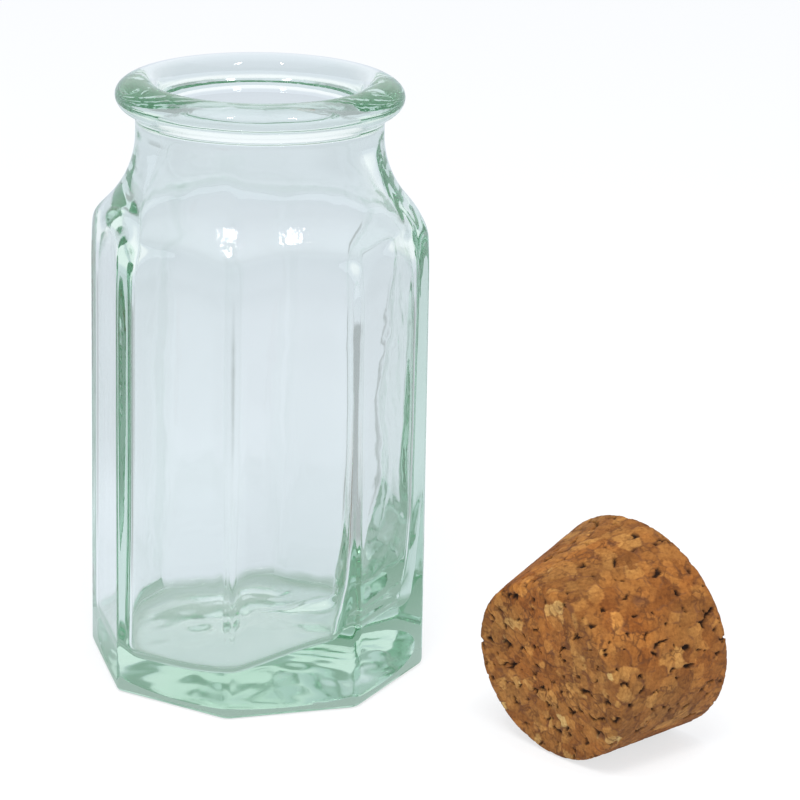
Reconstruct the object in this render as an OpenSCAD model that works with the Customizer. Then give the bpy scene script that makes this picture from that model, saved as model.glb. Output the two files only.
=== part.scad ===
// Moulded glass jar with an eight-sided body, a turned shoulder and neck, a
// rolled lip, and a tapered cork stopper that lies beside it on the table.
// The origin is the centre of the underside, and +Z points out of the mouth.

/* [Body] */
// Overall height, from the table to the top of the lip
jar_height = 99; // [80:0.5:140]
// Width across two opposite panels, at the base
flats_width = 52.6; // [44:0.1:72]
// Inward lean of each panel as it rises, in degrees
panel_draft = 0.38; // [0:0.02:1.2]
// How far the turned form takes off each upright edge
edge_trim = 0.25; // [0.1:0.05:0.8]
// Bevel along the heel, where the panels meet the underside
heel_bevel = 0.8; // [0.3:0.1:2]
// Width of the shallow round hollow in the underside
kick_width = 42; // [30:0.5:46]
// Depth of that hollow
kick_depth = 2.4; // [0.4:0.1:3.5]

/* [Shoulder and neck] */
// Height from the lip's top down to where the shoulder leaves the upright edges
shoulder_drop = 24.4; // [18:0.2:36]
// Slope of the shoulder away from upright, in degrees
shoulder_slope = 45; // [35:1:52]
// Radius that turns the body into the shoulder
shoulder_round = 2.4; // [1:0.2:5]
// Largest radius that turns the shoulder into the neck
neck_curve = 16.5; // [8:0.5:20]
// Thickness of the glass at the neck
neck_wall = 3.9; // [3:0.05:5.5]

/* [Lip and mouth] */
// Bore of the mouth, which the stopper fits
mouth_width = 32; // [24:0.2:38]
// How far the rolled lip stands out from the neck
lip_overhang = 3.2; // [2:0.1:4.5]
// Height of the rolled lip, from the groove under it to its top
lip_height = 5.3; // [4:0.1:8]
// How far down the lip's underside turns before the groove takes over, in degrees
lip_turn = 62; // [55:1:80]
// Radius on the mouth's inner edge
mouth_round = 2.9; // [1:0.1:3.5]

/* [Glass inside] */
// Thickness of the glass in the middle of a panel
panel_wall = 3.2; // [2:0.1:4.5]
// Thickness of the glass in the middle of the floor
floor_wall = 7.2; // [5:0.1:12]
// How far the inside corners are filled with glass
corner_fill = 0.4; // [0.2:0.1:1.4]
// Radius where the inner wall turns into the floor
floor_round = 3; // [2:0.5:8]
// Radius at the top of the cavity, under the shoulder
crown_round = 7; // [2:0.5:8]

/* [Stopper] */
// Length of the stopper
cork_length = 22.4; // [16:0.2:30]
// How much slimmer than the mouth its small end is
cork_lead_in = 2.3; // [1:0.1:4]
// How much wider than the mouth its large end is
cork_stand_out = 4.4; // [2:0.1:7]
// Radius on its two rims
cork_rim = 1.1; // [0.4:0.1:2]
// Table distance from the jar's axis to the middle of its small end
cork_reach = 61.8; // [52:0.1:80]
// Bearing of that small end, seen from the jar's axis, in degrees
cork_bearing = -55.9; // [-90:0.1:0]
// Direction its axis points, from its small end to its large one, in degrees
cork_heading = 28.8; // [0:0.1:60]

/* [Hidden] */
$fn = 96;
panels = 8;
panel_turn = 360 / panels;
glass_green = [0.72, 0.86, 0.80, 0.5];
cork_tan = [0.72, 0.52, 0.33];
arc_steps = 10;
past = 2;
heel_slope = 45;
least_curve = 1;
least_crown = 0.5;
lip_belly = 0.5;

flat_r = flats_width / 2;
corner_r = flat_r / cos(panel_turn / 2) - edge_trim;
shoulder_z = jar_height - shoulder_drop;
lean = tan(panel_draft);
corner_top_r = corner_r - lean * shoulder_z;

mouth_r = mouth_width / 2;
neck_r = mouth_r + neck_wall;
lip_z = jar_height - lip_height;
lip_r = neck_r + lip_overhang;
lip_mid_z = lip_z + lip_belly * lip_height;
lip_crown_r = mouth_r + mouth_round;

// The groove is an arc that touches the neck and the lip's underside.
lip_drop = lip_mid_z - lip_z;
lip_turn_point = [neck_r + lip_overhang * cos(lip_turn), lip_mid_z - lip_drop * sin(lip_turn)];
lip_turn_slant = atan((cos(lip_turn) / lip_overhang) / (sin(lip_turn) / lip_drop));
groove_r = lip_overhang * cos(lip_turn) / (1 - sin(lip_turn_slant));
groove_centre = lip_turn_point + groove_r * [sin(lip_turn_slant), -cos(lip_turn_slant)];

// The neck's curve gives way when the shoulder has too little room for it.
slope_take = 1 - cos(shoulder_slope);
shoulder_room = corner_top_r - neck_r;
neck_curve_fit = min(neck_curve, max(least_curve, shoulder_room / slope_take - shoulder_round));
slope_run = shoulder_room - (shoulder_round + neck_curve_fit) * slope_take;
cone_z = shoulder_z + shoulder_round * sin(shoulder_slope);
cone_rise = slope_run / tan(shoulder_slope);
neck_z = cone_z + cone_rise + neck_curve_fit * sin(shoulder_slope);

cavity_r = (flat_r - panel_wall) / cos(panel_turn / 2) - corner_fill;
cavity_top_r = cavity_r - lean * shoulder_z;
inner_curve = neck_curve_fit + neck_wall;
inner_curve_r = mouth_r + inner_curve * slope_take;
inner_curve_z = neck_z - inner_curve * sin(shoulder_slope);
crown_fit = min(crown_round, max(least_crown, (cavity_top_r - inner_curve_r) / slope_take));
crown_run = cavity_top_r - inner_curve_r - crown_fit * slope_take;
crown_cone_z = inner_curve_z - crown_run / tan(shoulder_slope);
crown_z = crown_cone_z - crown_fit * sin(shoulder_slope);

cork_small_r = (mouth_width - cork_lead_in) / 2;
cork_large_r = (mouth_width + cork_stand_out) / 2;
cork_taper = atan((cork_large_r - cork_small_r) / cork_length);

// Points on an ellipse quarter or any other arc, from one angle to another.
function arc(centre, rx, rz, from, to) =
    [for (i = [0:arc_steps])
        let (a = from + (to - from) * i / arc_steps)
            centre + [rx * cos(a), rz * sin(a)]];

// The hollow in the underside, which flattens out at its middle and at its rim.
function kick_outline() =
    [for (i = [0:arc_steps])
        let (share = i / arc_steps)
            [share * kick_width / 2, kick_depth * pow(1 - share * share, 2)]];

// Outline of the turned form outside: underside, body, shoulder, neck and lip.
function outer_outline() = concat(
    kick_outline(),
    [[corner_r, 0]],
    arc([corner_top_r - shoulder_round, shoulder_z], shoulder_round, shoulder_round, 0, shoulder_slope),
    arc([neck_r + neck_curve_fit, neck_z], neck_curve_fit, neck_curve_fit, 180 + shoulder_slope, 180),
    arc(groove_centre, groove_r, groove_r, 180, 90 + lip_turn_slant),
    arc([neck_r, lip_mid_z], lip_overhang, lip_drop, -lip_turn, 0),
    arc([lip_crown_r, lip_mid_z], lip_r - lip_crown_r, jar_height - lip_mid_z, 0, 90),
    [[0, jar_height]]
);

// Outline of the turned form inside, from the floor up and out of the mouth.
function inner_outline() = concat(
    [[0, floor_wall]],
    arc([cavity_r - floor_round, floor_wall + floor_round], floor_round, floor_round, 270, 360),
    arc([cavity_top_r - crown_fit, crown_z], crown_fit, crown_fit, 0, shoulder_slope),
    arc([mouth_r + inner_curve, neck_z], inner_curve, inner_curve, 180 + shoulder_slope, 180),
    arc([lip_crown_r, jar_height - mouth_round], mouth_round, mouth_round, 180, 90),
    [[lip_crown_r, jar_height + past], [0, jar_height + past]]
);

// Slabs that cut the flat panels; depth is how far inside the outer panels.
module panel_slabs(depth) {
    slab = corner_r;
    for (i = [0:panels - 1])
        rotate([0, 0, i * panel_turn])
            translate([flat_r - depth, 0, 0])
                rotate([0, -panel_draft, 0])
                    translate([0, -slab, -past])
                        cube([slab, 2 * slab, neck_z + past]);
}

// Sloping slabs that bevel the heel under each panel.
module heel_slabs() {
    slab = corner_r;
    for (i = [0:panels - 1])
        rotate([0, 0, i * panel_turn])
            translate([flat_r - heel_bevel, 0, 0])
                rotate([0, heel_slope, 0])
                    translate([0, -slab, -slab])
                        cube([slab, 2 * slab, 2 * slab]);
}

// The cavity: the inner turned form, flattened along each panel.
module cavity() {
    difference() {
        rotate_extrude() polygon(inner_outline());
        panel_slabs(panel_wall);
    }
}

module glass_bottle() {
    color(glass_green)
    difference() {
        rotate_extrude() polygon(outer_outline());
        panel_slabs(0);
        heel_slabs();
        cavity();
    }
}

// Where a rim's radius is centred, so that it meets the tapered side smoothly.
function rim_centre(z) = [cork_small_r + z * tan(cork_taper) - cork_rim / cos(cork_taper), z];

// The stopper standing on its small end, before it is laid down.
module upright_cork() {
    rotate_extrude()
        polygon(concat(
            [[0, 0]],
            arc(rim_centre(cork_rim), cork_rim, cork_rim, -90, -cork_taper),
            arc(rim_centre(cork_length - cork_rim), cork_rim, cork_rim, -cork_taper, 90),
            [[0, cork_length]]
        ));
}

module cork_stopper() {
    color(cork_tan)
    rotate([0, 0, cork_bearing])
        translate([cork_reach, 0, cork_small_r * cos(cork_taper)])
            rotate([0, 0, cork_heading - cork_bearing])
                rotate([0, 90 - cork_taper, 0])
                    upright_cork();
}

glass_bottle();
cork_stopper();
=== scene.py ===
# %% [markdown]
# # An eight-sided glass jar and its cork
#
# This lesson dresses two solids that are already the right size: a moulded glass jar and the
# tapered cork that lies beside it. The solids come in as a fixed frame, and each is replaced
# by a finer surface worked out with numpy. Lengths are in metres, so a value of 3 mm is
# written 3 * MM.

# %% Load the frame
import math

import bpy
import numpy as np
from mathutils import Matrix, Vector


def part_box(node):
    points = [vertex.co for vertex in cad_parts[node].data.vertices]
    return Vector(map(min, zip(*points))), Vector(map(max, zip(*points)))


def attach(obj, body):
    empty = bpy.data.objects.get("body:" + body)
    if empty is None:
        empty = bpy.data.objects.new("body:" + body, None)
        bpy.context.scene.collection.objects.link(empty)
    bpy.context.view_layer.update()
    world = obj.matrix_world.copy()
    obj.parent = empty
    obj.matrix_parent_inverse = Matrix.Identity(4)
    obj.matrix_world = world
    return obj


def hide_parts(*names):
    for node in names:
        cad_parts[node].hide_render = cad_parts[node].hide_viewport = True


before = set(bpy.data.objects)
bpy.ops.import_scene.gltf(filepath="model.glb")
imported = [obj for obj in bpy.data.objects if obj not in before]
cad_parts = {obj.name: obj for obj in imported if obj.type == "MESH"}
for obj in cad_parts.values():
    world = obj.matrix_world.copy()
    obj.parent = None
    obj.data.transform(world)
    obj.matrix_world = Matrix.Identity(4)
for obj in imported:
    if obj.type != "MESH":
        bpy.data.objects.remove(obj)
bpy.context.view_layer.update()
MM = 0.001

# %% [markdown]
# ## The camera
#
# A camera can be placed by eye, or worked out from the picture. Here the corners of the jar's
# foot, its shoulder and its lip were measured in the photograph, and the place, the direction
# and the focal length that put them there were solved for. The camera stands some 46 cm from
# the jar and 20 cm above the table, and looks a little down. It has no shift, so the same
# camera also serves for other views.

# %% Place the camera
PHOTO_WIDTH_PX = 800
FOCAL_PX = 2972.8
SENSOR_WIDTH = 36.0
camera_bearing = math.radians(-102.758)
camera_reach = 464.6 * MM
camera_height = 200.4 * MM
camera_heading = math.radians(74.361)
camera_pitch = math.radians(18.454)
camera_roll = math.radians(1.348)


def place_camera():
    """Ahead is the heading tipped down by the pitch; the roll then turns right towards up."""
    ahead = Vector((math.cos(camera_heading) * math.cos(camera_pitch),
                    math.sin(camera_heading) * math.cos(camera_pitch),
                    -math.sin(camera_pitch)))
    level = ahead.cross(Vector((0, 0, 1))).normalized()
    upright = level.cross(ahead)
    right = math.cos(camera_roll) * level + math.sin(camera_roll) * upright
    up = math.cos(camera_roll) * upright - math.sin(camera_roll) * level
    data = bpy.data.cameras.new("camera")
    data.sensor_width = SENSOR_WIDTH
    data.lens = SENSOR_WIDTH * FOCAL_PX / PHOTO_WIDTH_PX
    camera = bpy.data.objects.new("camera", data)
    turn = Matrix((right, up, -ahead)).transposed().to_4x4()
    turn.translation = (camera_reach * math.cos(camera_bearing),
                        camera_reach * math.sin(camera_bearing), camera_height)
    camera.matrix_world = turn
    bpy.context.scene.collection.objects.link(camera)
    bpy.context.scene.camera = camera
    return camera


camera = place_camera()
print("lens, mm:", round(camera.data.lens, 1))

# %% [markdown]
# ## Surfaces from arrays
#
# Every surface here is a grid of points: one direction runs around the piece and the other
# runs along its outline. The points are worked out as whole arrays and given to the mesh at
# once. A grid that closes around an axis ends in a single point at each pole, and a fan of
# triangles closes it there.

# %% Build a mesh from a grid that closes at two poles
def closed_grid(name, x, y, z):
    """Rows run from the first pole to the second, columns run once around.

    Row i, column j joins row i + 1 and column j + 1, with the last column joined to the first.
    The first and last rows are poles, and only their first point is used.
    """
    rows, columns = x.shape
    points = np.stack([x, y, z], -1)
    ring = points[1:-1].reshape(-1, 3)
    vertices = np.concatenate([points[:1, 0], ring, points[-1:, 0]])
    i = np.arange(rows - 3)[:, None] * columns + 1
    j = np.arange(columns)[None, :]
    k = (j + 1) % columns
    quads = np.stack([i + j, i + k, i + columns + k, i + columns + j], -1).reshape(-1, 4)
    around = np.arange(columns)
    onward = (around + 1) % columns
    first_ring = 1
    last_ring = 1 + (rows - 3) * columns
    last_pole = len(vertices) - 1
    start = np.stack([np.zeros(columns, int), first_ring + onward, first_ring + around], -1)
    end = np.stack([last_ring + around, last_ring + onward, np.full(columns, last_pole)], -1)
    mesh = bpy.data.meshes.new(name)
    mesh.from_pydata(vertices.tolist(), [], start.tolist() + quads.tolist() + end.tolist())
    mesh.polygons.foreach_set("use_smooth", np.ones(len(mesh.polygons), bool))
    mesh.update()
    piece = bpy.data.objects.new(name, mesh)
    bpy.context.scene.collection.objects.link(piece)
    return piece


def add_layer(piece, name, values):
    """Give every point of such a mesh a number, from a grid with one for each row and column."""
    numbers = np.concatenate([values[:1, 0], values[1:-1].ravel(), values[-1:, 0]])
    layer = piece.data.attributes.new(name, "FLOAT", "POINT")
    layer.data.foreach_set("value", numbers.astype(np.float32))


def arc(centre, rx, rz, start, end, count):
    """Points on an ellipse: centre plus (rx cos a, rz sin a), a in degrees from start to end."""
    a = np.radians(np.linspace(start, end, count))
    return np.stack([centre[0] + rx * np.cos(a), centre[1] + rz * np.sin(a)], -1)


def stretch(start, end, count):
    """Points spaced evenly on the straight line from start to end, without its two ends."""
    t = np.linspace(0, 1, count + 2)[1:-1, None]
    return np.asarray(start) * (1 - t) + np.asarray(end) * t


# %% [markdown]
# ## The jar's outline
#
# The jar is one piece of glass with two skins. Outside it starts as an octagon with slightly
# leaning panels, and a turned form takes over at the shoulder: where the turned form is
# narrower than the octagon, the glass follows it, and where they cross they leave a soft
# scalloped edge over each panel. Inside, a similar pair of forms makes the cavity, with softer
# corners and edges. Light that meets an upright edge runs along inside the wall for a long way,
# and that is where the green colour gathers.

# %% Sizes of the jar
jar_low, jar_high = (Vector(corner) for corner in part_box("glass_bottle"))
jar_height = jar_high.z
flat = (jar_high.x - jar_low.x) / 2
SIDES = 8
HALF_SIDE = math.pi / SIDES
lean = math.tan(math.radians(0.38))

# The outer skin
edge_radius = 1.4 * MM
corner_trim = 0.25 * MM
edge_blend = 0.12 * MM
arch_blend = 0.85 * MM
heel_radius = 1.1 * MM
kick_radius = 21 * MM
kick_depth = 2.4 * MM
shoulder_z = jar_height - 24.4 * MM
shoulder_radius = 2.4 * MM
shoulder_slope = 45
neck_curve = 16.5 * MM
mouth_radius = 16 * MM
neck_wall = 3.9 * MM
lip_overhang = 3.2 * MM
lip_height = 5.3 * MM
lip_belly = 0.5
lip_turn = math.radians(62)
mouth_round = 2.9 * MM

# The inner skin
panel_wall = 3.2 * MM
floor_wall = 7.2 * MM
inner_corner = 1.5 * MM
inner_trim = 0.4 * MM
inner_blend = 0.6 * MM
crown_blend = 1.6 * MM
floor_fillet = 2.6 * MM
crown_radius = 7 * MM

neck_radius = mouth_radius + neck_wall
corner_radius = flat / math.cos(HALF_SIDE) - corner_trim
shoulder_corner = corner_radius - lean * shoulder_z
lip_z = jar_height - lip_height
lip_mid_z = lip_z + lip_belly * lip_height
lip_radius = neck_radius + lip_overhang
crown_of_lip = mouth_radius + mouth_round
print("jar: %.1f mm across flats, %.1f mm tall" % (2 * flat / MM, jar_height / MM))


# %% Where the neck's curve meets the shoulder
slope = math.radians(shoulder_slope)
slope_take = 1 - math.cos(slope)
slope_run = shoulder_corner - neck_radius - (shoulder_radius + neck_curve) * slope_take
shoulder_end_z = shoulder_z + shoulder_radius * math.sin(slope)
neck_z = shoulder_end_z + slope_run / math.tan(slope) + neck_curve * math.sin(slope)
inner_curve = neck_curve + neck_wall
inner_end_r = mouth_radius + inner_curve * slope_take
inner_end_z = neck_z - inner_curve * math.sin(slope)
inner_flat = flat - panel_wall
cavity_radius = inner_flat / math.cos(HALF_SIDE) - inner_trim - lean * shoulder_z
crown_run = cavity_radius - inner_end_r - crown_radius * slope_take
crown_z = inner_end_z - crown_run / math.tan(slope) - crown_radius * math.sin(slope)
print("neck is upright from %.1f mm, cavity from %.1f mm" % (neck_z / MM, crown_z / MM))

# %% The groove under the lip
# It is an arc that touches both the neck and the lip's underside. The lip hands over to it where
# its own curve has turned down by lip_turn.
lip_drop = lip_mid_z - lip_z
groove_start = np.array([neck_radius + lip_overhang * math.cos(lip_turn),
                         lip_mid_z - lip_drop * math.sin(lip_turn)])
groove_slant = math.atan2(math.cos(lip_turn) / lip_overhang, math.sin(lip_turn) / lip_drop)
groove_radius = lip_overhang * math.cos(lip_turn) / (1 - math.sin(groove_slant))
groove_way = np.array([math.sin(groove_slant), -math.cos(groove_slant)])
groove_centre = groove_start + groove_radius * groove_way
print("groove radius, mm:", round(groove_radius / MM, 2))


# %% The two forms that shape each skin
def rounded_octagon(angle, half_width, radius):
    """Distance from the axis to an octagon of that half width, with its corners rounded.

    Near a side's middle it is half_width / cos(turn from the side's normal). Near a corner it
    is the far crossing of the ray with the corner's circle: c cos(q) + sqrt(r^2 - c^2 sin(q)^2),
    where c is how far out that circle's centre lies and q is the turn from the corner.
    """
    turn = np.mod(angle + HALF_SIDE, 2 * HALF_SIDE) - HALF_SIDE
    centre = (half_width - radius) / math.cos(HALF_SIDE)
    touch = np.arctan((half_width - radius) * math.tan(HALF_SIDE) / half_width)
    q = HALF_SIDE - np.abs(turn)
    under_root = np.maximum(radius ** 2 - (centre * np.sin(q)) ** 2, 0)
    corner = centre * np.cos(q) + np.sqrt(under_root)
    return np.where(np.abs(turn) <= touch, half_width / np.cos(turn), corner)


def soft_least(a, b, width):
    """The lesser of a and b, blended where they differ by less than the width."""
    share = np.clip(0.5 + (b - a) / (2 * width), 0, 1)
    return b * (1 - share) + a * share - width * share * (1 - share)


# %% One panel stands a little askew
askew_corner = math.radians(157.5)
askew_facing = math.radians(181.2)
askew_blend = 0.35 * MM
LEAST_COSINE = 0.2


def with_askew_panel(angle, octagon, half_width):
    """Cut the octagon by a line through one corner that faces a little away from its panel.

    The line lies half_width / cos(HALF_SIDE) * cos(turn from the corner to its normal) from the
    axis, and a ray meets it at that distance / cos(turn from the ray to its normal).
    """
    near = half_width / math.cos(HALF_SIDE) * math.cos(askew_facing - askew_corner)
    turn = np.mod(angle - askew_facing + math.pi, 2 * math.pi) - math.pi
    line = near / np.maximum(np.cos(turn), LEAST_COSINE)
    return soft_least(octagon, line, askew_blend)


# %% Columns of both skins
SIDE_COLUMNS = 40
CORNER_CROWDING = 0.8


def column_angles():
    """Angles around the jar, crowded towards the corners: a blend of u and sin(pi u / 2)."""
    u = np.linspace(-1, 1, SIDE_COLUMNS + 1)[:-1]
    side = HALF_SIDE * ((1 - CORNER_CROWDING) * u + CORNER_CROWDING * np.sin(math.pi * u / 2))
    return (side[None, :] + 2 * HALF_SIDE * np.arange(SIDES)[:, None]).ravel()


angle = column_angles()
print("columns:", len(angle))


# %% Tools for rows
def turn_from(side):
    """How far each column lies from a direction, either way round."""
    return np.abs(np.mod(angle - side + math.pi, 2 * math.pi) - math.pi)


def smooth_step(value, low, high):
    """0 below low, 1 above high, and t^2 (3 - 2t) between them."""
    t = np.clip((value - low) / (high - low), 0, 1)
    return t * t * (3 - 2 * t)


BLEND_RISE = 6 * MM


def rows_from(outline, half_width, radius, low_blend, high_blend):
    """Turn an outline of (radius, height) points into rows, held inside a leaning octagon.

    The blend of the two widens from low_blend on the body to high_blend at the shoulder.
    """
    r, z = outline[:, :1], outline[:, 1:]
    octagon = rounded_octagon(angle[None, :], half_width - lean * z, radius)
    octagon = with_askew_panel(angle[None, :], octagon, half_width - lean * z)
    blend = low_blend + (high_blend - low_blend) * smooth_step(z, shoulder_z - BLEND_RISE, shoulder_z)
    return soft_least(octagon, r, blend), np.broadcast_to(z, octagon.shape)


def softened(rows, share, passes):
    """Average each row with its neighbours, (1, 2, 1) / 4, again and again, by its share."""
    for _ in range(passes):
        middle = (rows[:-2] + 2 * rows[1:-1] + rows[2:]) / 4
        rows = np.concatenate([rows[:1], rows[1:-1] + share[1:-1] * (middle - rows[1:-1]), rows[-1:]])
    return rows


def evenly(outline, step):
    """The same outline with a point at every step along it."""
    length = np.concatenate([[0], np.cumsum(np.linalg.norm(np.diff(outline, axis=0), axis=1))])
    at = np.linspace(0, length[-1], int(length[-1] / step) + 1)
    return np.stack([np.interp(at, length, outline[:, k]) for k in (0, 1)], -1)


SHARE_RISE = 5 * MM
SHARE_TOP = 6 * MM, 1 * MM


def shoulder_share(z, low):
    """1 round the shoulder, 0 on the body below low and 0 on the upper neck."""
    top = smooth_step(z, neck_z - SHARE_TOP[0], neck_z - SHARE_TOP[1])
    return smooth_step(z, low, low + SHARE_RISE) * (1 - top)


def dimples(r, count, lengths, depth, seed):
    """Sum of depth * sin(2 pi distance / length + phase), each wave in a direction of its own."""
    dice = np.random.default_rng(seed)
    x, y = r * np.cos(angle), r * np.sin(angle)
    total = np.zeros(np.broadcast(x, y).shape)
    for _ in range(count):
        way = dice.uniform(0, 2 * math.pi)
        turns = 2 * math.pi / dice.uniform(*lengths)
        total += np.sin(turns * (x * math.cos(way) + y * math.sin(way)) + dice.uniform(0, 2 * math.pi))
    return total * depth / math.sqrt(count)


# %% Rows of the underside and the heel
KICK_ROWS = 26
FOOT_SHARES = 0.3, 0.65
HEEL_ROWS = 9
# how many waves, their lengths, their depth and the seed
kick_dimples = 16, (4 * MM, 11 * MM), 0.14 * MM, 4


def kick_rows():
    """The hollow in the underside: depth * (1 - share^2)^2, dimpled, with share = r / its radius."""
    share = np.linspace(0, 1, KICK_ROWS)[:, None]
    r = share * kick_radius + 0 * angle[None, :]
    z = kick_depth * (1 - share ** 2) ** 2 + dimples(r, *kick_dimples) * (1 - share ** 2)
    return r, np.maximum(z, 0)


def heel_rows():
    """A quarter turn of radius heel_radius from the underside up into each panel."""
    turn = np.radians(np.linspace(0, 90, HEEL_ROWS))[:, None]
    heel_flat = flat - heel_radius * (1 - np.sin(turn))
    heel_z = heel_radius * (1 - np.cos(turn)) + 0 * angle[None, :]
    heel_r = rounded_octagon(angle[None, :], heel_flat - lean * heel_z, edge_radius + 0 * heel_flat)
    heel_r = with_askew_panel(angle[None, :], heel_r, heel_flat - lean * heel_z)
    return soft_least(heel_r, corner_radius - (flat - heel_flat), edge_blend), heel_z


# %% Rows of the outer skin
OUTER_STEP = 0.55 * MM
SHOULDER_POINTS, NECK_POINTS, GROOVE_POINTS = 20, 40, 12
LIP_UNDER_POINTS, LIP_TOP_POINTS = 14, 18
PANEL_ROWS, UPPER_NECK_ROWS = 12, 2
shoulder_lead = 10 * MM
outer_soft_reach = 9 * MM
OUTER_PASSES = 8


def outer_outline():
    """The turned outline outside, from the heel up over the shoulder to the lip's crown."""
    lead_z = shoulder_z - shoulder_lead
    shoulder = evenly(np.concatenate([
        [(corner_radius - lean * lead_z, lead_z)],
        arc((shoulder_corner - shoulder_radius, shoulder_z), shoulder_radius, shoulder_radius,
            0, shoulder_slope, SHOULDER_POINTS),
        arc((neck_radius + neck_curve, neck_z), neck_curve, neck_curve,
            180 + shoulder_slope, 180, NECK_POINTS)]), OUTER_STEP)
    return np.concatenate([
        stretch((corner_radius, heel_radius), shoulder[0], PANEL_ROWS),
        shoulder,
        stretch((neck_radius, neck_z), (neck_radius, groove_centre[1]), UPPER_NECK_ROWS),
        arc(groove_centre, groove_radius, groove_radius,
            180, 90 + math.degrees(groove_slant), GROOVE_POINTS),
        arc((neck_radius, lip_mid_z), lip_overhang, lip_drop,
            -math.degrees(lip_turn), 0, LIP_UNDER_POINTS)[1:],
        arc((crown_of_lip, lip_mid_z), lip_radius - crown_of_lip, jar_height - lip_mid_z,
            0, 90, LIP_TOP_POINTS)[1:]])


def outer_rows():
    """The underside, the heel, the panels, the shoulder, the neck and the lip, in that order."""
    kick_r, kick_z = kick_rows()
    heel_r, heel_z = heel_rows()
    t = np.array(FOOT_SHARES)[:, None]
    foot_r = kick_radius * (1 - t) + heel_r[:1] * t
    body_r, body_z = rows_from(outer_outline(), flat, edge_radius, edge_blend, arch_blend)
    share = shoulder_share(body_z, shoulder_z - outer_soft_reach)
    body_r, body_z = softened(body_r, share, OUTER_PASSES), softened(body_z, share, OUTER_PASSES)
    return (np.concatenate([kick_r, foot_r, heel_r, body_r]),
            np.concatenate([kick_z, 0 * foot_r, heel_z, body_z]))


outer_r, outer_z = outer_rows()
print("outer rows:", len(outer_r))


# %% [markdown]
# ## Uneven walls
#
# The outside took its shape from a mould, but the inside was only blown, so the inner skin is
# never quite even. Its thickness is listed here for each panel at six heights: low down the
# glass ran to one side, and further up the panels differ by half a millimetre or so. A panel's
# wall changes over to the next one's at the corner, and how far it slants there decides where
# the dark and bright lines beside that edge fall. Gentle waves are added. Noise from a texture
# would do as well, but sines that fit a whole number of times around the jar meet without a
# seam.

# %% How the blown inside departs from an even wall
wave_dice = np.random.default_rng(11)
panel_heights = np.array([8, 13, 19, 27, 43, 70]) * MM
panel_walls = MM * np.array([
    # facing 180, -135, -90, -45, 0, 45, 90 and 135 degrees, at each of those heights
    [3.2, 3.2, 3.2, 6.5, 12.0, 7.0, 3.4, 3.1],
    [3.3, 3.3, 3.0, 4.6, 9.0, 5.5, 3.3, 3.2],
    [3.4, 3.4, 2.9, 3.5, 6.2, 4.8, 3.3, 3.2],
    [3.6, 3.6, 2.8, 2.9, 4.7, 4.2, 3.3, 3.4],
    [3.7, 3.7, 2.5, 2.4, 4.4, 3.5, 3.2, 3.5],
    [3.7, 3.7, 2.5, 2.6, 3.6, 3.0, 3.0, 3.5]])
corner_share = 0.14
# how many waves, their turns around the jar, their lengths and their depth
wall_waves = ((10, (2, 9), (14 * MM, 45 * MM), 0.03 * MM),
              (24, (9, 40), (3.5 * MM, 12 * MM), 0.008 * MM))
still_side = math.pi
still_reach = math.radians(21), math.radians(34)


def waves(z, count, turns, lengths, depth):
    """Sum of depth * sin(m * angle + 2 pi z / length + phase) over random m, length and phase."""
    total = np.zeros(z.shape)
    for _ in range(count):
        m = wave_dice.integers(turns[0], turns[1])
        length = wave_dice.uniform(lengths[0], lengths[1]) * wave_dice.choice([-1, 1])
        phase = wave_dice.uniform(0, 2 * math.pi)
        total += np.sin(m * angle[None, :] + 2 * math.pi * z / length + phase)
    return total * depth / math.sqrt(count)


def wall_thickness(z):
    """Thickness of the wall: even over each panel, and it changes over to the next at the corner.

    The changeover takes a share of a panel's turn, and between the listed heights the thickness
    is worked out in proportion.
    """
    place = np.mod(angle + math.pi, 2 * math.pi) / (2 * HALF_SIDE)
    panel = np.floor(place).astype(int)
    onward = smooth_step(place - panel, 0.5 - corner_share, 0.5 + corner_share)
    thickness = np.zeros(np.broadcast(z, angle[None, :]).shape)
    steps = zip(panel_heights, panel_heights[1:], panel_walls, panel_walls[1:])
    for low, high, low_walls, high_walls in steps:
        first = low_walls[panel % SIDES] * (1 - onward) + low_walls[(panel + 1) % SIDES] * onward
        last = high_walls[panel % SIDES] * (1 - onward) + high_walls[(panel + 1) % SIDES] * onward
        share = np.clip((z - low) / (high - low), 0, 1)
        within = (z >= low) if high == panel_heights[-1] else (z >= low) & (z < high)
        if low == panel_heights[0]:
            within = within | (z < low)
        thickness = np.where(within, first * (1 - share) + last * share, thickness)
    return thickness


def blown_unevenness(z):
    """How far the inner skin stands out from an even wall, with two sizes of wave on it.

    The panel that the camera sees at a grazing angle has no waves.
    """
    wavy = sum(waves(z, *size) for size in wall_waves)
    return panel_wall - wall_thickness(z) + wavy * smooth_step(turn_from(still_side), *still_reach)


# %% The floor is thicker on the side to which the glass ran
low_floor_z, high_floor_z = 5.4 * MM, 11.4 * MM
run_side = math.radians(-43)
run_reach = math.radians(60)
run_power = 3


def floor_shift():
    """How far the floor's edge lies above floor_wall: low, and high by exp(-|turn / reach|^3)."""
    rise = np.exp(-(turn_from(run_side) / run_reach) ** run_power)
    edge = low_floor_z + (high_floor_z - low_floor_z) * rise
    return (edge - floor_wall)[None, :]


print("floor's edge, mm:", round(low_floor_z / MM, 1), "to", round(high_floor_z / MM, 1))

# %% Rows of the inner wall
INNER_STEP = 0.6 * MM
MOUTH_POINTS, BORE_ROWS, WALL_ROWS = 10, 5, 36
crown_lead = 14 * MM
inner_soft_reach = 12 * MM
INNER_PASSES = 240
inner_softness, far_side_less = 0.4, 0.28
far_side_edges = math.radians(80), math.radians(120)
bore_fade = 14 * MM
floor_lift_from = 32 * MM
# A thickness is square to its panel, so along the radius it is longer by one over this cosine.
panel_slant = np.cos(np.mod(angle + HALF_SIDE, 2 * HALF_SIDE) - HALF_SIDE)


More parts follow.
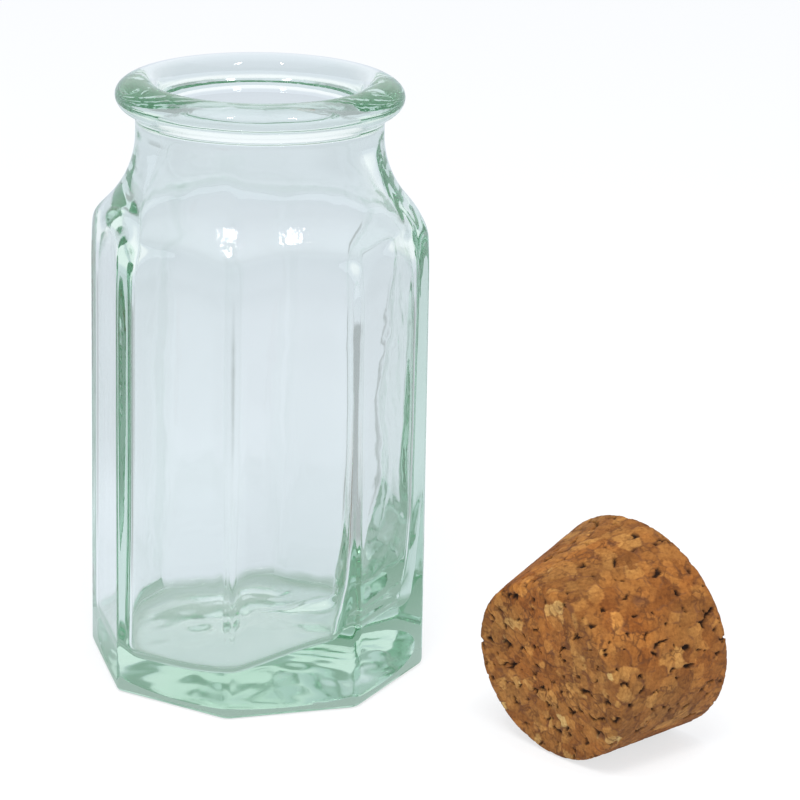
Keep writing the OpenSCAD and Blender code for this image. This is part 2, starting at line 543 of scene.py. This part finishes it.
def inner_outline():
    """The turned outline inside, from the mouth's round edge down to the floor's fillet."""
    crown = evenly(np.concatenate([
        arc((mouth_radius + inner_curve, neck_z), inner_curve, inner_curve,
            180, 180 + shoulder_slope, NECK_POINTS),
        arc((cavity_radius - crown_radius, crown_z), crown_radius, crown_radius,
            shoulder_slope, 0, SHOULDER_POINTS),
        [(cavity_radius + lean * crown_lead, crown_z - crown_lead)]]), INNER_STEP)
    return np.concatenate([
        arc((crown_of_lip, jar_height - mouth_round), mouth_round, mouth_round,
            90, 180, MOUTH_POINTS)[1:],
        stretch((mouth_radius, jar_height - mouth_round), (mouth_radius, neck_z), BORE_ROWS),
        crown,
        stretch(crown[-1], (cavity_radius + lean * crown_z, floor_wall + floor_fillet), WALL_ROWS)])


def wall_rows():
    """The outline made an octagon, softened at the shoulder, made uneven and lifted at the floor."""
    r, z = rows_from(inner_outline(), inner_flat, inner_corner, inner_blend, crown_blend)
    far_side = smooth_step(turn_from(camera_bearing), *far_side_edges)
    share = shoulder_share(z, crown_z - inner_soft_reach) * (inner_softness - far_side_less * far_side)
    r, z = softened(r, share, INNER_PASSES), softened(z, share, INNER_PASSES)
    below_bore = np.clip((neck_z - z) / bore_fade, 0, 1)
    r = r + blown_unevenness(z) * below_bore / panel_slant
    near_floor = np.clip((floor_lift_from - z) / (floor_lift_from - floor_wall - floor_fillet), 0, 1)
    return r, z + floor_shift() * near_floor ** 2


# %% Rows of the floor
FILLET_ROWS, FLOOR_ROWS = 10, 22
floor_dimples = 9, (9 * MM, 18 * MM), 0.11 * MM, 8
SHIFT_POWER, DIMPLE_POWER = 1.5, 6


def inner_rows():
    """The wall, then a quarter turn into the floor, then the floor in to its middle."""
    wall_r, wall_z = wall_rows()
    turn = np.radians(np.linspace(90, 0, FILLET_ROWS))[:, None]
    fillet_flat = inner_flat - floor_fillet * (1 - np.sin(turn))
    fillet_z = floor_wall + floor_fillet * (1 - np.cos(turn)) + 0 * angle[None, :]
    fillet_r = rounded_octagon(angle[None, :], fillet_flat, inner_corner + 0 * fillet_flat)
    fillet_r = with_askew_panel(angle[None, :], fillet_r, fillet_flat)
    round_r = cavity_radius + lean * crown_z - (inner_flat - fillet_flat)
    settled = blown_unevenness(floor_wall + floor_fillet + 0 * angle[None, :])
    fillet_r = soft_least(fillet_r, round_r, inner_blend) + settled / panel_slant
    t = np.linspace(1, 0, FLOOR_ROWS)[1:, None]
    floor_r = fillet_r[-1:] * t
    rough = dimples(floor_r, *floor_dimples) * (1 - t ** DIMPLE_POWER)
    floor_z = floor_wall + floor_shift() * t ** SHIFT_POWER + rough
    return (np.concatenate([wall_r, fillet_r, floor_r]),
            np.concatenate([wall_z, fillet_z + floor_shift(), floor_z]))


inner_r, inner_z = inner_rows()
print("inner rows:", len(inner_r))

# %% Where the skin is crinkled or worn
crinkle_reach = math.radians(20), math.radians(34)
crinkle_low = shoulder_z + 1 * MM, shoulder_z + 3 * MM
crinkle_high = shoulder_z + 6 * MM, shoulder_z + 8 * MM
worn_height = kick_depth + 1 * MM
lip_from = lip_z - 2 * MM


def crinkled(z):
    """1 where the mould left the shoulder crinkled, on the side of the camera, and 0 elsewhere."""
    band = smooth_step(z, *crinkle_low) * (1 - smooth_step(z, *crinkle_high))
    return band * (1 - smooth_step(turn_from(camera_bearing), *crinkle_reach))


def underside(r, z):
    """1 on the hollow that faces the table, which is worn matt, and 0 elsewhere."""
    return (z < worn_height) * (r < kick_radius) * 1.0


# %% Put the two skins together
def build_jar():
    """The outer rows run up to the lip's crown, and the inner rows carry on down to the floor."""
    r = np.concatenate([outer_r, inner_r])
    z = np.concatenate([outer_z, inner_z])
    piece = closed_grid("jar_glass", r * np.cos(angle), r * np.sin(angle), z)
    add_layer(piece, "crinkle", np.concatenate([crinkled(outer_z), 0 * inner_z]))
    add_layer(piece, "lip", smooth_step(z, lip_from, lip_z))
    add_layer(piece, "worn", np.concatenate([underside(outer_r, outer_z), 0 * inner_z]))
    return piece


jar = build_jar()
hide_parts("glass_bottle")
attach(jar, "root")
print("jar:", len(jar.data.polygons), "faces")

# %% [markdown]
# ## Green glass
#
# Plain soda-lime glass is green because of iron in its sand, and the colour shows only where
# light has a long way to go through it. A tinted surface would colour thin and thick glass
# alike, so the surface is left clear and the tint is put into the volume, where it builds up
# with distance.
#
# Such a jar isn't polished all over either. Its underside is worn matt where it stands, the
# mould left a crinkled patch on the shoulder, and the lip has small ripples. The three layers
# that were stored on the mesh say where each of these is.

# %% Small node builders, which all the finishes use
class Finish:
    """The nodes of a material or of the world, with a short method for each kind.

    A value given to a method is a number, three numbers for a colour, or another node's socket.
    """

    def __init__(self, owner):
        owner.use_nodes = True
        self.nodes, self.links = owner.node_tree.nodes, owner.node_tree.links

    def node(self, kind, **settings):
        """A new node, with its settings by the names that Blender gives them."""
        made = self.nodes.new("ShaderNode" + kind)
        for name, value in settings.items():
            setattr(made, name, value)
        return made

    def feed(self, socket, value):
        """Link another node's socket to this one, or write a number or a colour on it."""
        if isinstance(value, bpy.types.NodeSocket):
            self.links.new(value, socket)
        elif socket.type == "RGBA":
            socket.default_value = (*value, 1)
        else:
            socket.default_value = value

    def sum(self, operation, first, second):
        """One sum of two values."""
        made = self.node("Math", operation=operation)
        self.feed(made.inputs[0], first)
        self.feed(made.inputs[1], second)
        return made.outputs[0]

    def product(self, first, *others):
        """All the values multiplied together."""
        for other in others:
            first = self.sum("MULTIPLY", first, other)
        return first

    def soft_range(self, value, low, high):
        """Smooth step of a value, from 0 at low to 1 at high."""
        made = self.node("MapRange", interpolation_type="SMOOTHSTEP")
        self.feed(made.inputs["From Min"], low)
        self.feed(made.inputs["From Max"], high)
        self.feed(made.inputs["Value"], value)
        return made.outputs["Result"]

    def mix(self, share, low, high, kind="MIX"):
        """A colour between two others, or one laid over the other in another way."""
        made = self.node("Mix", data_type="RGBA", blend_type=kind)
        self.feed(made.inputs["Factor"], share)
        self.feed(made.inputs["A"], low)
        self.feed(made.inputs["B"], high)
        return made.outputs["Result"]

    def ramp(self, value, stops):
        """A colour looked up along (place, colour) stops."""
        made = self.node("ValToRGB")
        while len(made.color_ramp.elements) < len(stops):
            made.color_ramp.elements.new(0.5)
        for element, (at, colour) in zip(made.color_ramp.elements, stops):
            element.position = at
            element.color = (*colour, 1)
        self.feed(made.inputs["Fac"], value)
        return made.outputs["Color"]

    def noise(self, place, scale, detail=2.0, rough=0.5, output="Fac"):
        """Cloudy noise; the scale counts its bumps along a metre."""
        made = self.node("TexNoise")
        self.feed(made.inputs["Vector"], place)
        self.feed(made.inputs["Scale"], scale)
        self.feed(made.inputs["Detail"], detail)
        self.feed(made.inputs["Roughness"], rough)
        return made.outputs[output]

    def layer(self, name):
        """A layer of numbers that was stored on the mesh."""
        return self.node("Attribute", attribute_name=name).outputs["Fac"]

    def bump(self, height, strength, distance, normal=None):
        """A normal tilted as if the surface rose by height * distance, over another normal."""
        made = self.node("Bump")
        self.feed(made.inputs["Height"], height)
        self.feed(made.inputs["Strength"], strength)
        self.feed(made.inputs["Distance"], distance)
        if normal:
            self.feed(made.inputs["Normal"], normal)
        return made.outputs["Normal"]


# %% The glass
glass_absorption = (12.1, 5.4, 9.6)
GLASS_IOR = 1.52
ABSORPTION_DENSITY = 40.0
WORN_ROUGHNESS = 0.11
surface_grain = (
    # scale, detail, distance, and the layer that says where
    (420.0, 3.0, 0.006 * MM, None),
    (1300.0, 2.0, 0.06 * MM, "crinkle"),
    (230.0, 2.0, 0.06 * MM, "lip"))


def glass_normal(tree):
    """One bump laid over another, each as strong as its layer says."""
    place = tree.node("TexCoord").outputs["Object"]
    normal = None
    for scale, detail, distance, where in surface_grain:
        strength = tree.layer(where) if where else 1.0
        normal = tree.bump(tree.noise(place, scale, detail), strength, distance, normal)
    return normal


def green_glass():
    """Clear surface; each metre inside takes away density times (1 - colour) of each colour."""
    material = bpy.data.materials.new("green_glass")
    tree = Finish(material)
    surface = tree.nodes["Principled BSDF"]
    tree.feed(surface.inputs["Base Color"], (1, 1, 1))
    tree.feed(surface.inputs["Roughness"], tree.product(tree.layer("worn"), WORN_ROUGHNESS))
    tree.feed(surface.inputs["IOR"], GLASS_IOR)
    tree.feed(surface.inputs["Transmission Weight"], 1.0)
    tree.feed(surface.inputs["Normal"], glass_normal(tree))
    tint = tree.node("VolumeAbsorption")
    tree.feed(tint.inputs["Density"], ABSORPTION_DENSITY)
    tree.feed(tint.inputs["Color"], tuple(1 - a / ABSORPTION_DENSITY for a in glass_absorption))
    tree.feed(tree.nodes["Material Output"].inputs["Volume"], tint.outputs["Volume"])
    return material


jar.data.materials.append(green_glass())
print("light left after 10 mm of glass:", [round(math.exp(-a * 10 * MM), 3) for a in glass_absorption])

# %% [markdown]
# ## The cork
#
# The stopper is ground cork, pressed into a block with a binder, turned to a taper and sanded.
# What shows is a section through thousands of granules: each has its own tone, most meet in a
# thin brown line, and where three meet badly a dark hole is left. A ready-made cell texture
# gives cells of one size and shape, so here each granule gets its own place, size, direction
# and stretch, and every point of the surface is given to the granule that is nearest by that
# granule's own measure. The same numbers then carve the surface and colour it.

# %% Sizes and place of the cork
cork_length = 22.4 * MM
cork_small = 14.85 * MM
cork_large = 18.2 * MM
cork_rim = 1.1 * MM
cork_reach = 61.8 * MM
cork_bearing = math.radians(-55.9)
cork_heading = math.radians(28.8)
cork_taper = math.atan((cork_large - cork_small) / cork_length)


def cork_to_world(points):
    """Lay the upright cork on its side: tip it over, turn it to its heading and slide it out."""
    tip = Matrix.Rotation(math.pi / 2 - cork_taper, 4, "Y")
    turn = Matrix.Rotation(cork_heading, 4, "Z")
    place = Matrix.Translation((cork_reach * math.cos(cork_bearing),
                                cork_reach * math.sin(cork_bearing),
                                cork_small * math.cos(cork_taper)))
    move = np.array(place @ turn @ tip)
    return points @ move[:3, :3].T + move[:3, 3]


# %% The cork's outline
POLE_RADIUS = 0.4 * MM
SMALL_END_ROWS, SIDE_ROWS, LARGE_END_ROWS = 42, 84, 40
SMALL_RIM_POINTS, LARGE_RIM_POINTS = 7, 8


def rim_centre(along):
    """Where a rim's circle sits so that it touches the tapered side: in by radius / cos(taper)."""
    return (cork_small + along * math.tan(cork_taper) - cork_rim / math.cos(cork_taper), along)


def cork_outline():
    """Rows of (radius, distance along) from the small end's middle to the large end's middle."""
    slant = math.degrees(cork_taper)
    small, large = rim_centre(cork_rim), rim_centre(cork_length - cork_rim)
    first = arc(small, cork_rim, cork_rim, -90, -slant, SMALL_RIM_POINTS)
    last = arc(large, cork_rim, cork_rim, -slant, 90, LARGE_RIM_POINTS)
    return np.concatenate([
        [(0, 0)], stretch((POLE_RADIUS, 0), first[0], SMALL_END_ROWS), first,
        stretch(first[-1], last[0], SIDE_ROWS), last,
        stretch(last[-1], (POLE_RADIUS, cork_length), LARGE_END_ROWS), [(0, cork_length)]])


CORK_COLUMNS = 500
outline = cork_outline()
cork_angle = np.linspace(0, 2 * math.pi, CORK_COLUMNS, endpoint=False)
step = np.gradient(outline, axis=0)
outward = np.stack([step[:, 1], -step[:, 0]], -1) / np.linalg.norm(step, axis=1)[:, None]


def turned(profile):
    """Carry (radius, along) rows round the axis, as points of an upright cork."""
    return np.stack([profile[:, :1] * np.cos(cork_angle), profile[:, :1] * np.sin(cork_angle),
                     np.broadcast_to(profile[:, 1:], (len(profile), CORK_COLUMNS))], -1)


cork_points = turned(outline)
cork_normals = turned(outward)
print("cork grid:", cork_points.shape[0], "rows of", CORK_COLUMNS)


# %% Scatter the granules
cork_dice = np.random.default_rng(23)
GRANULE_PITCH = 2.3 * MM
END_PITCH = 1.7 * MM
JITTER = 0.48
SKIN_DEPTH = 2.6 * MM
SKIN_OUTSIDE = -0.8 * MM
FINE_REACH = 1.6 * MM
END_REACH = 1.2 * MM


def jittered(pitch):
    """A cubic grid of places round the cork, each moved by up to almost half the pitch."""
    reach = cork_large + pitch
    across = np.arange(-reach, reach, pitch)
    along = np.arange(-pitch, cork_length + pitch, pitch)
    grid = np.stack(np.meshgrid(across, across, along, indexing="ij"), -1).reshape(-1, 3)
    return grid + cork_dice.uniform(-JITTER, JITTER, grid.shape) * pitch


def depth_below_skin(points):
    """How deep a point lies: the least of its distances to the side and to the two ends."""
    r = np.linalg.norm(points[:, :2], axis=1)
    side = (cork_small + points[:, 2] * math.tan(cork_taper) - r) * math.cos(cork_taper)
    return np.minimum(side, np.minimum(points[:, 2], cork_length - points[:, 2]))


def scatter_granules():
    """Coarse granules along the side, finer ones near the ends, and only near the skin."""
    coarse, fine = jittered(GRANULE_PITCH), jittered(END_PITCH)
    near_end = np.minimum(fine[:, 2], cork_length - fine[:, 2]) < FINE_REACH
    mid = np.minimum(coarse[:, 2], cork_length - coarse[:, 2]) >= END_REACH
    places = np.concatenate([coarse[mid], fine[near_end]])
    depth = depth_below_skin(places)
    return places[(depth > SKIN_OUTSIDE) & (depth < SKIN_DEPTH)]


SMALL_END_PALER = 0.13
SLANT_SPREAD = 0.035
granules = scatter_granules()
count = len(granules)
granule_size = cork_dice.uniform(0.7, 1.25, count)
granule_axis = cork_dice.normal(size=(count, 3))
granule_axis /= np.linalg.norm(granule_axis, axis=1)[:, None]
granule_squeeze = cork_dice.uniform(0.35, 0.95, count)
granule_tone = cork_dice.beta(1.9, 2.6, count)
granule_tone += SMALL_END_PALER * (granules[:, 2] < END_REACH)
granule_lift = cork_dice.uniform(-1, 0, count)
granule_slant = cork_dice.normal(size=(count, 3)) * SLANT_SPREAD
print("granules:", count)


# %% Give each point of the skin to a granule
BATCHES = 24


def share_out(points):
    """The nearest granule, and the gaps to the second and the third.

    A granule's measure is sqrt(d^2 - (1 - squeeze^2) (d along its axis)^2) / size, so that it
    reaches further along its axis and a large one reaches further all round.
    """
    owner, second, third = [], [], []
    along_granule = np.sum(granules * granule_axis, 1)
    for part in np.array_split(points, BATCHES):
        square = (np.sum(part ** 2, 1)[:, None] - 2 * part @ granules.T
                  + np.sum(granules ** 2, 1)[None, :])
        along = part @ granule_axis.T - along_granule
        measure = np.sqrt(np.maximum(square - (1 - granule_squeeze ** 2) * along ** 2, 0)) / granule_size
        best = np.partition(measure, 2, axis=1)[:, :3]
        owner.append(np.argmin(measure, axis=1))
        second.append(best[:, 1] - best[:, 0])
        third.append(best[:, 2] - best[:, 0])
    return np.concatenate(owner), np.concatenate(second), np.concatenate(third)


def ripple(points, length, count, dice):
    """A smooth random field near -1 to 1: sines of random direction, length and phase."""
    total = np.zeros(len(points))
    for _ in range(count):
        way = dice.normal(size=3)
        way *= 2 * math.pi / (np.linalg.norm(way) * length * dice.uniform(0.7, 1.4))
        total += np.sin(points @ way + dice.uniform(0, 2 * math.pi))
    return total * math.sqrt(2 / count)


# The seams between granules are bent a little, so that none of them is straight.
SEAM_BEND = 0.16 * MM
flat_points = cork_points.reshape(-1, 3)
bent = flat_points + SEAM_BEND * np.stack(
    [ripple(flat_points, 2.4 * MM, 12, cork_dice) for _ in range(3)], -1)
owner, to_second, to_third = share_out(bent)
print("granules that show:", len(np.unique(owner)))

# %% Seams, holes and the height of the skin
seam_edges = 0.03 * MM, 0.26 * MM
LEAST_SEAM = 0.2
hole_edges = 0.20 * MM, 0.38 * MM
lift_height, seam_depth, hole_depth, sanding_height = 0.05 * MM, 0.10 * MM, 0.5 * MM, 0.015 * MM

seam_strength = smooth_step(ripple(flat_points, 3.0 * MM, 14, cork_dice), -0.5, 1.2)
seam = (1 - smooth_step(to_second, *seam_edges)) * (LEAST_SEAM + (1 - LEAST_SEAM) * seam_strength)
hole_chance = smooth_step(ripple(flat_points, 2.6 * MM, 14, cork_dice), 0.8, 0.95)
hole = (1 - smooth_step(to_third, *hole_edges)) * hole_chance
from_owner = bent - granules[owner]
tilt = np.sum(from_owner * granule_slant[owner], 1)
height = (lift_height * granule_lift[owner] + tilt - seam_depth * seam - hole_depth * hole
          + sanding_height * ripple(flat_points, 0.9 * MM, 16, cork_dice))
height = np.minimum(height, 0)
print("deepest hole, mm:", round(float(-height.min()) / MM, 2))


# %% Build the cork
def build_cork():
    """Every point sinks along its normal by its height, and then the cork is laid down."""
    skin = flat_points + cork_normals.reshape(-1, 3) * height[:, None]
    world = cork_to_world(skin).reshape(cork_points.shape)
    piece = closed_grid("cork", world[..., 0], world[..., 1], world[..., 2])
    for name, values in {"tone": granule_tone[owner], "seam": seam, "hole": hole}.items():
        add_layer(piece, name, values.reshape(cork_points.shape[:2]))
    return piece


cork = build_cork()
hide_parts("cork_stopper")
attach(cork, "root")
print("cork:", len(cork.data.polygons), "faces")

# %% [markdown]
# ## Ground cork
#
# The colour follows the granules: a ramp turns each one's tone into a tan, a fine noise breaks
# it up inside the granule, the seams darken it to brown, and the holes are painted nearly black
# as painted shade at their bottom. The binder's stain is warmer in some places than in others,
# so a slow noise shifts the whole towards orange. Inside a granule there are smaller flakes,
# with short cracks between some of them. They are too fine for the mesh, so a cell texture
# draws them, and a noise bends its straight edges.

# %% Colours of the cork
granule_tans = ((0.0, (0.18, 0.062, 0.012)), (0.3, (0.26, 0.097, 0.020)), (0.65, (0.33, 0.138, 0.031)),
                (0.88, (0.43, 0.205, 0.052)), (1.0, (0.54, 0.335, 0.115)))
stain_tints = ((0.35, (0.90, 0.97, 1.05)), (0.65, (1.08, 0.95, 0.80)))
grain_tints = ((0.3, (0.72, 0.66, 0.60)), (0.55, (1.0, 1.0, 1.0)), (0.75, (1.18, 1.2, 1.2)))
flake_tints = ((0.0, (0.80, 0.76, 0.72)), (0.5, (1.0, 1.0, 1.0)), (1.0, (1.22, 1.24, 1.26)))
seam_brown = (0.15, 0.056, 0.019)
crack_brown = (0.085, 0.028, 0.008)
# painted shade: the holes are coloured nearly black for the shade at the bottom of each pit
hole_painted_shade = (0.020, 0.008, 0.003)


def granule_colour(tree, place):
    """Tone times stain times grain, with the seams laid over."""
    tan = tree.ramp(tree.layer("tone"), granule_tans)
    stain = tree.ramp(tree.noise(place, 90.0), stain_tints)
    grain = tree.ramp(tree.noise(place, 1900.0, 3.0, 0.6), grain_tints)
    grained = tree.mix(1.0, tree.mix(1.0, tan, stain, "MULTIPLY"), grain, "MULTIPLY")
    return tree.mix(tree.layer("seam"), grained, seam_brown)


# %% Flakes and cracks inside the granules
FLAKE_SCALE = 620.0
SWIRL_SCALE = 600.0
flake_bend = 2.6 * MM
crack_edges = 0.16, 0.02
CRACK_NOISE_SCALE = 420.0
crack_where = 0.50, 0.62
CRACK_STRENGTH = 0.6


def with_flakes(tree, place, colour):
    """Cells at place + bend * noise: each cell has a tone, and some of the cells' edges crack."""
    bent_place = tree.node("VectorMath", operation="MULTIPLY_ADD")
    tree.feed(bent_place.inputs[0], tree.noise(place, SWIRL_SCALE, output="Color"))
    tree.feed(bent_place.inputs[1], (flake_bend,) * 3)
    tree.feed(bent_place.inputs[2], place)

    def cells(feature, output):
        made = tree.node("TexVoronoi", feature=feature)
        tree.feed(made.inputs["Scale"], FLAKE_SCALE)
        tree.feed(made.inputs["Vector"], bent_place.outputs["Vector"])
        return made.outputs[output]

    flaked = tree.mix(1.0, colour, tree.ramp(cells("F1", "Color"), flake_tints), "MULTIPLY")
    edge = tree.soft_range(cells("DISTANCE_TO_EDGE", "Distance"), *crack_edges)
    where = tree.soft_range(tree.noise(place, CRACK_NOISE_SCALE), *crack_where)
    return tree.mix(tree.product(edge, where, CRACK_STRENGTH), flaked, crack_brown)


# %% The cork's finish
CORK_ROUGHNESS = 0.82
CORK_SHEEN = 0.25
pore_depth = 0.08 * MM
PORE_STRENGTH = 0.35


def ground_cork():
    """The granules' colour with flakes, then painted shade in the holes, on a dull surface with fine
    pores.
    """
    material = bpy.data.materials.new("ground_cork")
    tree = Finish(material)
    place = tree.node("TexCoord").outputs["Object"]
    flaked = with_flakes(tree, place, granule_colour(tree, place))
    pores = tree.bump(tree.noise(place, 2600.0, 3.0, 0.65), PORE_STRENGTH, pore_depth)
    surface = tree.nodes["Principled BSDF"]
    # painted shade: the holes are coloured nearly black
    tree.feed(surface.inputs["Base Color"], tree.mix(tree.layer("hole"), flaked, hole_painted_shade))
    tree.feed(surface.inputs["Roughness"], CORK_ROUGHNESS)
    tree.feed(surface.inputs["Specular IOR Level"], CORK_SHEEN)
    tree.feed(surface.inputs["Normal"], pores)
    return material


cork.data.materials.append(ground_cork())
print("finishes:", [material.name for material in bpy.data.materials])

# %% [markdown]
# ## The floor and the light
#
# The jar stands on white paper, and the picture's background is white. Clear glass has hardly
# any colour of its own: it shows what lies behind it, bent and turned over. So the camera sees
# a plain white floor and world, and the rays that pass through glass see something richer.
# Under the jar the paper carries painted shade, with a darker painted contact shadow where the
# foot stands; close by it is bright, and further off to either side it gives way to a dim room,
# which draws the dark lines along the edges. A photographer does the same with black cards
# beside a glass. The dim parts are placed by the camera's own directions, so they stand beside
# the jar in every view. The world is a little brighter behind the jar than elsewhere, because
# the thick base shows that part of it, turned over.

# %% Colours of the studio
white = (1.0, 1.0, 1.0)
floor_grey = (0.95, 0.95, 0.95)
studio_tint = (0.77, 0.825, 0.905)
far_tint = (0.68, 0.73, 0.80)
room_tint = (0.30, 0.33, 0.34)
# painted shadows on the paper, seen only through glass: shade under the jar and a darker contact shadow
# where its foot stands
shade_tint = (0.56, 0.70, 0.68)
contact_shadow_tint = (0.36, 0.49, 0.43)
backdrop_tint = (1.02, 1.05, 1.09)


def ray_is(tree, kinds):
    """1 for a ray of any of those kinds, and 0 for the rest."""
    path = tree.node("LightPath")
    found = path.outputs[kinds[0]]
    for kind in kinds[1:]:
        found = tree.sum("MAXIMUM", found, path.outputs[kind])
    return found


def in_camera(tree, vector):
    """How far a vector points to the camera's right, and how far ahead of it."""
    turned_vector = tree.node("VectorTransform", vector_type="VECTOR",
                              convert_from="WORLD", convert_to="CAMERA")
    tree.feed(turned_vector.inputs[0], vector)
    parts = tree.node("SeparateXYZ")
    tree.feed(parts.inputs[0], turned_vector.outputs[0])
    return parts.outputs["X"], parts.outputs["Z"]


# %% What glass shows of the floor
# Distances from the jar's axis: the foot's painted shade, the painted contact shadow where it stands,
# and the far floor.
shade_edges = 17 * MM, 22 * MM
contact_shadow_edges = 25 * MM, 34 * MM
far_edges = 120 * MM, 300 * MM
# A sector is given by the cosines of its turns from the camera's heading.
side_sector = tuple(math.cos(math.radians(a)) for a in (130, 110, 46, 30))
side_edges = 60 * MM, 100 * MM
near_sector = tuple(math.cos(math.radians(a)) for a in (27, 37))
near_right = 0 * MM, 10 * MM
near_rise, near_fall = (50 * MM, 75 * MM), (270 * MM, 230 * MM)
near_share = 0.85
dim_reach = 330 * MM, 250 * MM


def dim_share(tree, place, distance):
    """How dim the floor is: the wide sectors to both sides, or the one nearer on the right."""
    across, forward = in_camera(tree, place)
    along = tree.sum("DIVIDE", forward, math.cos(camera_pitch))
    ahead = tree.sum("DIVIDE", along, distance)
    aside = tree.sum("ABSOLUTE", across, 0.0)
    sides = tree.product(tree.soft_range(ahead, side_sector[3], side_sector[2]),
                         tree.soft_range(ahead, side_sector[0], side_sector[1]),
                         tree.soft_range(aside, *side_edges))
    right = tree.product(tree.soft_range(across, *near_right), tree.soft_range(ahead, *near_sector),
                         tree.soft_range(distance, *near_rise), tree.soft_range(distance, *near_fall),
                         near_share)
    return tree.product(tree.sum("MAXIMUM", sides, right), tree.soft_range(distance, *dim_reach))


def floor_through_glass(tree):
    """Rings of painted shade, painted contact shadow, paper and far floor around the jar, dim where
    dim_share says.
    """
    place = tree.node("NewGeometry").outputs["Position"]
    length = tree.node("VectorMath", operation="LENGTH")
    tree.feed(length.inputs[0], place)
    distance = length.outputs["Value"]
    # painted shade under the jar, and a painted contact shadow ring around its foot
    shadow_under = tree.mix(tree.soft_range(distance, *shade_edges), shade_tint, contact_shadow_tint)
    paper = tree.mix(tree.soft_range(distance, *contact_shadow_edges), shadow_under, studio_tint)
    lit = tree.mix(tree.soft_range(distance, *far_edges), paper, far_tint)
    return tree.mix(dim_share(tree, place, distance), lit, room_tint)


# %% The floor
floor_size = 4.0
FLOOR_ROUGHNESS = 0.9
CAMERA_WHITE_SHARE = 0.7
GLASS_SHARE = 0.85


def plain_floor():
    """A pale matt floor, mostly plain white to the camera, and the studio's to glass."""
    bpy.ops.mesh.primitive_plane_add(size=floor_size)
    piece = bpy.context.object
    piece.name = "floor"
    material = bpy.data.materials.new("floor_white")
    tree = Finish(material)
    surface = tree.nodes["Principled BSDF"]
    tree.feed(surface.inputs["Base Color"], floor_grey)
    tree.feed(surface.inputs["Roughness"], FLOOR_ROUGHNESS)

    def glowing(colour):
        made = tree.node("Emission")
        tree.feed(made.inputs["Color"], colour)
        return made.outputs["Emission"]

    def blend(share, first, second):
        made = tree.node("MixShader")
        tree.feed(made.inputs["Fac"], share)
        tree.feed(made.inputs[1], first)
        tree.feed(made.inputs[2], second)
        return made.outputs["Shader"]

    to_camera = tree.product(ray_is(tree, ["Is Camera Ray"]), CAMERA_WHITE_SHARE)
    to_glass = tree.product(ray_is(tree, ["Is Transmission Ray", "Is Glossy Ray"]), GLASS_SHARE)
    plain = blend(to_camera, surface.outputs["BSDF"], glowing(white))
    finish = blend(to_glass, plain, glowing(floor_through_glass(tree)))
    tree.feed(tree.nodes["Material Output"].inputs["Surface"], finish)
    material.cycles.emission_sampling = "NONE"
    piece.data.materials.append(material)
    return piece


floor = plain_floor()
print("floor, m:", tuple(floor.dimensions))

# %% The world
# The backdrop fades in with the forward part of a ray's direction and with its rise.
backdrop_forward = -0.25, -0.55
backdrop_rise = 0.05, 0.2


def studio_world():
    """White to the camera, and the studio's own tint to other rays, brighter behind the jar."""
    world = bpy.data.worlds.new("studio")
    bpy.context.scene.world = world
    tree = Finish(world)
    incoming = tree.node("NewGeometry").outputs["Incoming"]
    dot = tree.node("VectorMath", operation="DOT_PRODUCT")
    tree.feed(dot.inputs[0], incoming)
    tree.feed(dot.inputs[1], (0, 0, -1))
    behind = tree.product(tree.soft_range(in_camera(tree, incoming)[1], *backdrop_forward),
                          tree.soft_range(dot.outputs["Value"], *backdrop_rise))
    light = tree.nodes["Background"]
    tree.feed(light.inputs["Color"], tree.mix(behind, studio_tint, backdrop_tint))
    seen = tree.node("Background")
    tree.feed(seen.inputs["Color"], white)
    choose = tree.node("MixShader")
    tree.feed(choose.inputs["Fac"], ray_is(tree, ["Is Camera Ray"]))
    tree.feed(choose.inputs[1], light.outputs["Background"])
    tree.feed(choose.inputs[2], seen.outputs["Background"])
    tree.feed(tree.nodes["World Output"].inputs["Surface"], choose.outputs["Shader"])


studio_world()

# %% [markdown]
# ## The lamps
#
# Two small lamps high in front of the jar leave the two bright marks on its shoulder. They are
# too weak to light the cork, so a large soft lamp does that. The glass would show it as one
# large bright oblong, so it is hidden from mirrored and bent rays.

# %% Place the lamps
lamps = (
    # name, place, aim, size, power, and whether glass shows it
    ("lamp_left", (-0.215, -0.2, 0.6), (0, 0, 0.08), (0.03, 0.09), 0.42, True),
    ("lamp_right", (0.12, -0.265, 0.6), (0, 0, 0.08), (0.04, 0.09), 0.5, True),
    ("lamp_soft", (-0.1, -0.32, 0.55), (0, 0, 0.04), (0.3, 0.2), 2.15, False))


def area_light(name, place, aim, size, power, shown):
    """An oblong lamp at a place, turned to face the aim."""
    data = bpy.data.lights.new(name, "AREA")
    data.shape = "RECTANGLE"
    data.size, data.size_y = size
    data.energy = power
    lamp = bpy.data.objects.new(name, data)
    lamp.location = place
    lamp.rotation_euler = (Vector(aim) - Vector(place)).to_track_quat("-Z", "Y").to_euler()
    lamp.visible_glossy = shown
    lamp.visible_transmission = shown
    bpy.context.scene.collection.objects.link(lamp)
    return lamp


for setting in lamps:
    lamp = area_light(*setting)
    print(lamp.name, "stands", round(lamp.location.length, 2), "m away")

# %% Let light cross the glass many times
MOST_BOUNCES = 48
bpy.context.scene.cycles.max_bounces = MOST_BOUNCES
bpy.context.scene.cycles.transmission_bounces = MOST_BOUNCES
bpy.context.scene.cycles.glossy_bounces = MOST_BOUNCES

# %% Colours as they are written
bpy.context.scene.view_settings.view_transform = "Standard"
